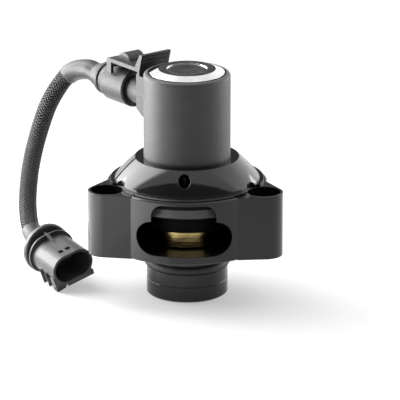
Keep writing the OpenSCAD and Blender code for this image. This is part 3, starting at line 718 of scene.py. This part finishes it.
class VALVE_OT_lead(bpy.types.Operator):
    """The braided lead with its two shrunk sleeves, between the plug and the end connector."""

    bl_idname = "valve.lead"
    bl_label = "Lay the lead"

    def execute(self, context):
        sizes = settings("lead_sizes")
        frames = lead_frames(0, ROUTE_END, LEAD_STEPS)
        braid = make_braid(frames, sizes)
        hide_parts("lead_cord")
        sleeve = moulded_plastic("shrunk_sleeve", (0.03, 0.03, 0.031), 0.42, grain=0.000003)
        upper = make_sleeve("upper_shrunk_sleeve", UPPER_SPAN, sizes, sleeve)
        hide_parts("upper_sleeve")
        lower = make_sleeve("lower_shrunk_sleeve", LOWER_SPAN, sizes, sleeve)
        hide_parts("lower_sleeve")
        for piece in (braid, upper, lower):
            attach(piece, "valve")
        return {"FINISHED"}


def lead_slopes():
    """Slopes at the route's points: half the step between a point's neighbours, and at the ends the
    caps' own axes."""
    start = np.array([math.cos(SOCKET_ANGLE), math.sin(SOCKET_ANGLE), 0.0])
    slopes = np.empty_like(LEAD_ROUTE)
    slopes[1:-1] = (LEAD_ROUTE[2:] - LEAD_ROUTE[:-2]) / 2
    slopes[0] = np.linalg.norm(LEAD_ROUTE[1] - LEAD_ROUTE[0]) * start
    slopes[-1] = np.linalg.norm(LEAD_ROUTE[-1] - LEAD_ROUTE[-2]) * unit(CONNECTOR_AXIS)
    return slopes


def lead_points(u):
    """The route at u, counted in its points: the cubic that meets each point with its slope."""
    slopes = lead_slopes()
    i = np.minimum(u.astype(int), ROUTE_END - 1)
    f = (u - i)[:, None]
    return ((2 * f**3 - 3 * f**2 + 1) * LEAD_ROUTE[i] + (f**3 - 2 * f**2 + f) * slopes[i]
            + (3 * f**2 - 2 * f**3) * LEAD_ROUTE[i + 1] + (f**3 - f**2) * slopes[i + 1])


def lead_frames(start, end, count):
    """Even steps along the lead between two points of its route: centres, two axes across the lead, and
    lengths from the first."""
    fine = np.linspace(start, end, ROUTE_STEPS)
    steps = np.linalg.norm(np.diff(lead_points(fine), axis=0), axis=1)
    length = np.concatenate([[0], np.cumsum(steps)])
    even = np.linspace(0, length[-1], count)
    centres = lead_points(np.interp(even, length, fine))
    along = unit(np.gradient(centres, axis=0))
    side = np.array([-math.sin(SOCKET_ANGLE), math.cos(SOCKET_ANGLE), 0.0])
    across = unit(side - (along @ side)[:, None] * along)
    return centres, across, np.cross(along, across), even


def make_braid(frames, sizes):
    """Two families of flat strands wound opposite ways round a core. Strand k runs at the angle
    k * turn / n plus or minus its length over the radius, and rises and falls as the sine of its
    crossings, over two strands and under two. A section is an ellipse, widened for the strand's lean."""
    centres, across, other, length = frames
    n = sizes.carriers
    middle = sizes.radius - sizes.crimp - sizes.strand_half_depth
    crossing = np.pi * middle / n
    widening = math.sqrt(2)
    section = round_angles(STRAND_SIDES)
    wide = sizes.strand_half_width * np.cos(section) / middle * widening
    deep = sizes.strand_half_depth * np.sin(section)
    strand = np.arange(n)[:, None]
    strands, maps = [], []
    for way in (1, -1):
        wind = way * length[None] / middle + 2 * np.pi * strand / n
        weave = way * np.pi / 2 * length[None] / crossing + np.pi * strand + np.pi / 4
        angle = wind[..., None] + wide
        radius = (middle + way * sizes.crimp * np.sin(weave))[..., None] + deep
        out = outward(angle, across[None, :, None], other[None, :, None])
        strands.append((centres[None, :, None] + radius[..., None] * out).reshape(-1, 3))
        across_strand = STRAND_MAP * np.cos(section)
        along_strand = length[None, :, None] + strand[..., None]
        maps.append(np.stack(np.broadcast_arrays(across_strand, along_strand), -1).reshape(-1, 2))
    core = tube_points(frames, middle - sizes.crimp, CORE_SIDES)
    strand_size = len(length) * STRAND_SIDES
    firsts = strand_size * np.arange(2 * n)[:, None, None]
    strand_faces = (grid_faces(len(length), STRAND_SIDES)[None] + firsts).reshape(-1, 4)
    core_faces = grid_faces(len(length), CORE_SIDES) + 2 * n * strand_size
    braid = new_piece("braided_lead", np.concatenate([*strands, core]),
                      np.concatenate([strand_faces, core_faces]), braided_strand())
    # The core takes the map's edge value, so the gaps between the strands get painted shade
    put_map(braid, "strand", np.concatenate([*maps, np.full((len(core), 2), STRAND_MAP)]))
    close_ends(braid)
    return braid


def put_map(piece, name, places):
    """Gives a piece a UV map from one place for each of its points."""
    layer = piece.data.uv_layers.new(name=name)
    corners = np.empty(len(piece.data.loops), int)
    piece.data.loops.foreach_get("vertex_index", corners)
    layer.data.foreach_set("uv", places[corners].astype(np.float32).ravel())


def make_sleeve(name, span, sizes, material):
    """A shrunk sleeve: a tube over the lead, with three slight wrinkles that wind along its middle, and
    ends that roll in as the square of the nearness to the end."""
    lip_depth, lip_share = 0.00028, 0.04
    wrinkle_height, wrinkle_count, wrinkle_wind = 0.00005, 3, 9
    u = np.linspace(0, 1, SLEEVE_STEPS)[:, None]
    v = round_angles(SLEEVE_SIDES)[None]
    end = np.minimum(u, 1 - u)
    lip = lip_depth * (1 - np.clip(end / lip_share, 0, 1)) ** 2
    wrinkle = wrinkle_height * np.sin(wrinkle_count * v + wrinkle_wind * u) * np.sin(np.pi * u)
    radius = sizes.sleeve_radius - lip + wrinkle
    return tube(name, lead_frames(*span, SLEEVE_STEPS), radius, SLEEVE_SIDES, material)


# Springs

class VALVE_OT_springs(bpy.types.Operator):
    """The piston's and the plunger's springs, as round wire with closed end turns."""

    bl_idname = "valve.springs"
    bl_label = "Wind the springs"

    def execute(self, context):
        wire = turned_metal("spring_wire", (0.45, 0.45, 0.47), 0.28)
        for name, cad, joint, turns, wire_radius in SPRINGS:
            low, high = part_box(cad)
            radius = (high.x - low.x) / 2 - wire_radius
            coil = make_coil(name, radius, wire_radius, low.z, high.z, turns, wire)
            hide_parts(cad)
            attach(coil, "valve")
            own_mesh(coil)
        return {"FINISHED"}


def make_coil(name, radius, wire_radius, low, high, turns, material):
    """Round wire along a helix: the angle runs evenly, and the height rises little over the closed turn
    at each end and evenly between them."""
    closed_turn, closed_rise = 0.6, 0.12
    t = np.linspace(0, 1, TURN_STEPS * turns)
    angle = 2 * np.pi * turns * t
    rise = np.clip((t - closed_turn / turns) / (1 - 2 * closed_turn / turns), 0, 1)
    share = closed_rise * t + (1 - closed_rise) * rise
    height = low + wire_radius + (high - low - 2 * wire_radius) * share
    centres = np.stack([radius * np.cos(angle), radius * np.sin(angle), height], -1)
    along = unit(np.gradient(centres, axis=0))
    out = np.stack([np.cos(angle), np.sin(angle), np.zeros_like(angle)], -1)
    out = unit(out - np.sum(out * along, -1, keepdims=True) * along)
    return tube(name, (centres, out, np.cross(along, out), t), wire_radius, WIRE_SIDES, material)


# Finishes on the CAD nodes

def finish_nodes(names, material):
    """One finish for CAD nodes."""
    for name in names:
        part = frame["nodes"][name]
        part.data.materials.clear()
        part.data.materials.append(material)


class VALVE_OT_body(bpy.types.Operator):
    """Anodised body and retainer, brass piston, and the metal inside."""

    bl_idname = "valve.body"
    bl_label = "Finish the metal"

    def execute(self, context):
        colours = settings("finish_colours")
        finish_nodes(("valve_body",), anodised_metal())
        finish_nodes(("solenoid_retainer",), retainer_metal())
        finish_nodes(("piston",), turned_metal("turned_brass", colours.brass, 0.14, depth=0.000035))
        finish_nodes(("top_disc",), turned_metal("bright_steel", colours.steel, 0.1, depth=0.000001))
        finish_nodes(("yoke", "fixed_core", "lower_pole", "plunger"),
                     turned_metal("machined_steel", shade(colours.steel, 0.7), 0.3))
        finish_nodes(("coil_winding",), wound_copper())
        finish_nodes(("socket_terminals", "plug_terminals", "connector_terminals"),
                     turned_metal("tinned_brass", shade(colours.brass, 1.2), 0.28))
        return {"FINISHED"}


class VALVE_OT_mouldings(bpy.types.Operator):
    """Moulded solenoid housing, plug, latch and end connector, and the rubber seals."""

    bl_idname = "valve.mouldings"
    bl_label = "Finish the mouldings"

    def execute(self, context):
        colours = settings("finish_colours")
        finish_nodes(("solenoid_housing",), solenoid_plastic())
        finish_nodes(("plug_housing", "plug_rear_cap"),
                     moulded_plastic("plug_moulding", colours.plug, 0.45))
        finish_nodes(("plug_latch",),
                     moulded_plastic("latch_moulding", shade(colours.plug, 0.5), 0.4))
        finish_nodes(("connector_rear_cap", "connector_housing"),
                     moulded_plastic("connector_moulding", shade(colours.plug, 1.4), 0.38))
        finish_nodes(("coil_bobbin", "piston_ring"),
                     moulded_plastic("plain_moulding", (0.03, 0.03, 0.03), 0.5))
        finish_nodes(("base_o_ring", "retainer_o_ring", "solenoid_gasket", "plunger_seal", "plug_seal"),
                     soft_rubber())
        return {"FINISHED"}


class VALVE_PT_panel(bpy.types.Panel):
    """Sidebar list of the valve's steps."""

    bl_idname = "VALVE_PT_panel"
    bl_label = "Blow off valve"
    bl_space_type = "VIEW_3D"
    bl_region_type = "UI"
    bl_category = "Valve"

    def draw(self, context):
        for operator in OPERATORS:
            self.layout.operator(operator.bl_idname)


OPERATORS = (VALVE_OT_stage, VALVE_OT_lead, VALVE_OT_springs, VALVE_OT_body, VALVE_OT_mouldings)
GROUPS = {"view_sizes": ViewSizes, "lead_sizes": LeadSizes, "finish_colours": FinishColours}


def register():
    for group in (*GROUPS.values(), *OPERATORS, VALVE_PT_panel):
        bpy.utils.register_class(group)
    for name, group in GROUPS.items():
        setattr(bpy.types.Scene, name, bpy.props.PointerProperty(type=group))


def unregister():
    for name in GROUPS:
        delattr(bpy.types.Scene, name)
    for group in (VALVE_PT_panel, *reversed(OPERATORS), *GROUPS.values()):
        bpy.utils.unregister_class(group)


def main():
    register()
    bpy.context.scene.view_settings.view_transform = "Standard"
    bpy.ops.valve.stage()
    bpy.ops.valve.lead()
    bpy.ops.valve.springs()
    bpy.ops.valve.body()
    bpy.ops.valve.mouldings()


if __name__ == "__main__":
    main()
